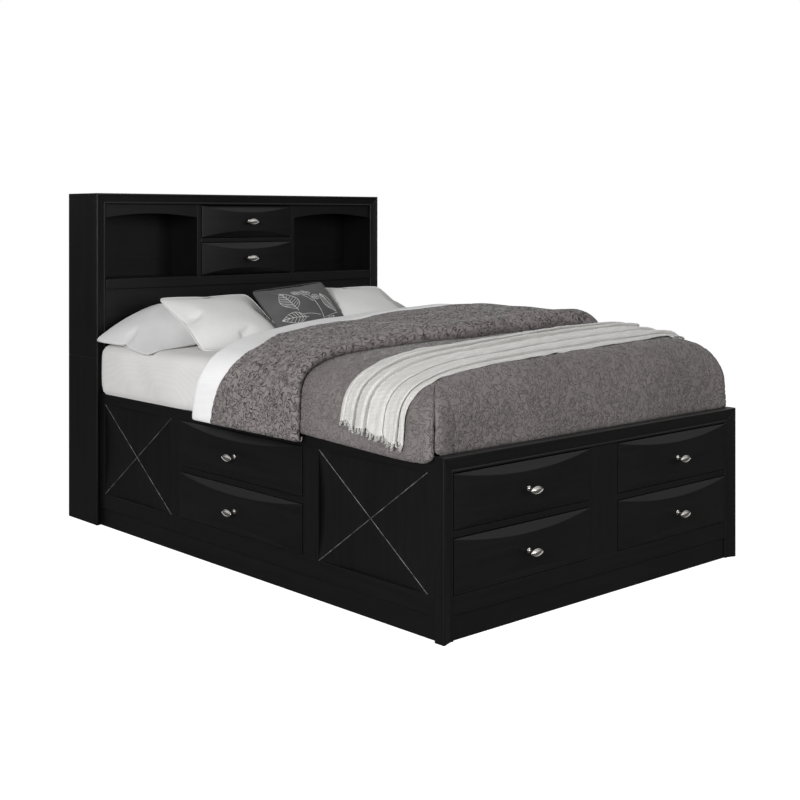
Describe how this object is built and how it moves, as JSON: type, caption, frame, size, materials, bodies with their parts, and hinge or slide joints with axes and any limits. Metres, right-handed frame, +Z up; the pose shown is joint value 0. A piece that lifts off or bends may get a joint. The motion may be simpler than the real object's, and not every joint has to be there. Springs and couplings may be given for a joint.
{
  "type": "platform bed with storage drawers",
  "caption": "Queen platform bed with a bookcase headboard, bowed storage drawers at the sides, foot and headboard, scooped cross panels and made-up bedding.",
  "frame": {"origin": "on the floor under the middle of the bed, at the centre of its overall box", "axes": "+Z up, +Y from the footboard to the headboard, +X to the right seen from the foot"},
  "size_m": [1.746, 2.4599, 1.467],
  "materials": {
    "painted_wood": "satin black lacquer over fine grain",
    "plain_wood": "clear matt lacquer",
    "slide_steel": "zinc plated",
    "knob_nickel": "satin nickel",
    "mattress_fabric": "smooth cotton sheet",
    "sheet_fabric": "smooth cotton sheet",
    "duvet_fabric": "quilted cotton",
    "throw_fabric": "soft woven wool",
    "pillow_fabric": "smooth cotton",
    "sham_fabric": "smooth cotton with a quilted border",
    "accent_fabric": "woven cotton with line embroidery"
  },
  "bodies": {
    "bed": {"headboard_side_left": "painted_wood", "headboard_side_right": "painted_wood", "hutch_top": "painted_wood", "hutch_shelf": "painted_wood", "hutch_partitions": "painted_wood", "hutch_back_panel": "painted_wood", "hutch_valances": "painted_wood", "headboard_moulding": "painted_wood", "headboard_apron": "painted_wood", "headboard_lower_panel": "painted_wood", "left_face_frame": "painted_wood", "right_face_frame": "painted_wood", "cross_panels": "painted_wood", "side_plinths": "painted_wood", "footboard_moulding": "painted_wood", "footboard_face_frame": "painted_wood", "footboard_plinth": "painted_wood", "left_drawer_case": "plain_wood", "right_drawer_case": "plain_wood", "footboard_case": "plain_wood", "slats": "plain_wood", "centre_beam": "plain_wood", "drawer_runners": "slide_steel", "rail_brackets": "slide_steel", "mattress": "mattress_fabric", "duvet": "duvet_fabric", "throw": "throw_fabric", "sleeping_pillows": "pillow_fabric", "sham_pillows": "sham_fabric", "accent_pillow": "accent_fabric"},
    "head_upper_drawer": {"head_upper_front": "painted_wood", "head_upper_box": "plain_wood", "head_upper_hardware": "knob_nickel"},
    "head_lower_drawer": {"head_lower_front": "painted_wood", "head_lower_box": "plain_wood", "head_lower_hardware": "knob_nickel"},
    "left_upper_drawer": {"left_upper_front": "painted_wood", "left_upper_box": "plain_wood", "left_upper_hardware": "knob_nickel"},
    "left_lower_drawer": {"left_lower_front": "painted_wood", "left_lower_box": "plain_wood", "left_lower_hardware": "knob_nickel"},
    "right_upper_drawer": {"right_upper_front": "painted_wood", "right_upper_box": "plain_wood", "right_upper_hardware": "knob_nickel"},
    "right_lower_drawer": {"right_lower_front": "painted_wood", "right_lower_box": "plain_wood", "right_lower_hardware": "knob_nickel"},
    "foot_left_upper_drawer": {"foot_left_upper_front": "painted_wood", "foot_left_upper_box": "plain_wood", "foot_left_upper_hardware": "knob_nickel"},
    "foot_left_lower_drawer": {"foot_left_lower_front": "painted_wood", "foot_left_lower_box": "plain_wood", "foot_left_lower_hardware": "knob_nickel"},
    "foot_right_upper_drawer": {"foot_right_upper_front": "painted_wood", "foot_right_upper_box": "plain_wood", "foot_right_upper_hardware": "knob_nickel"},
    "foot_right_lower_drawer": {"foot_right_lower_front": "painted_wood", "foot_right_lower_box": "plain_wood", "foot_right_lower_hardware": "knob_nickel"}
  },
  "joints": [
    {"name": "head_upper_slide", "type": "slide", "parent": "bed", "child": "head_upper_drawer", "axis": [0, -1, 0], "range_m": [0, 0.14]},
    {"name": "head_lower_slide", "type": "slide", "parent": "bed", "child": "head_lower_drawer", "axis": [0, -1, 0], "range_m": [0, 0.14]},
    {"name": "left_upper_slide", "type": "slide", "parent": "bed", "child": "left_upper_drawer", "axis": [-1, 0, 0], "range_m": [0, 0.42]},
    {"name": "left_lower_slide", "type": "slide", "parent": "bed", "child": "left_lower_drawer", "axis": [-1, 0, 0], "range_m": [0, 0.42]},
    {"name": "right_upper_slide", "type": "slide", "parent": "bed", "child": "right_upper_drawer", "axis": [1, 0, 0], "range_m": [0, 0.42]},
    {"name": "right_lower_slide", "type": "slide", "parent": "bed", "child": "right_lower_drawer", "axis": [1, 0, 0], "range_m": [0, 0.42]},
    {"name": "foot_left_upper_slide", "type": "slide", "parent": "bed", "child": "foot_left_upper_drawer", "axis": [0, -1, 0], "range_m": [0, 0.36]},
    {"name": "foot_left_lower_slide", "type": "slide", "parent": "bed", "child": "foot_left_lower_drawer", "axis": [0, -1, 0], "range_m": [0, 0.36]},
    {"name": "foot_right_upper_slide", "type": "slide", "parent": "bed", "child": "foot_right_upper_drawer", "axis": [0, -1, 0], "range_m": [0, 0.36]},
    {"name": "foot_right_lower_slide", "type": "slide", "parent": "bed", "child": "foot_right_lower_drawer", "axis": [0, -1, 0], "range_m": [0, 0.36]}
  ]
}
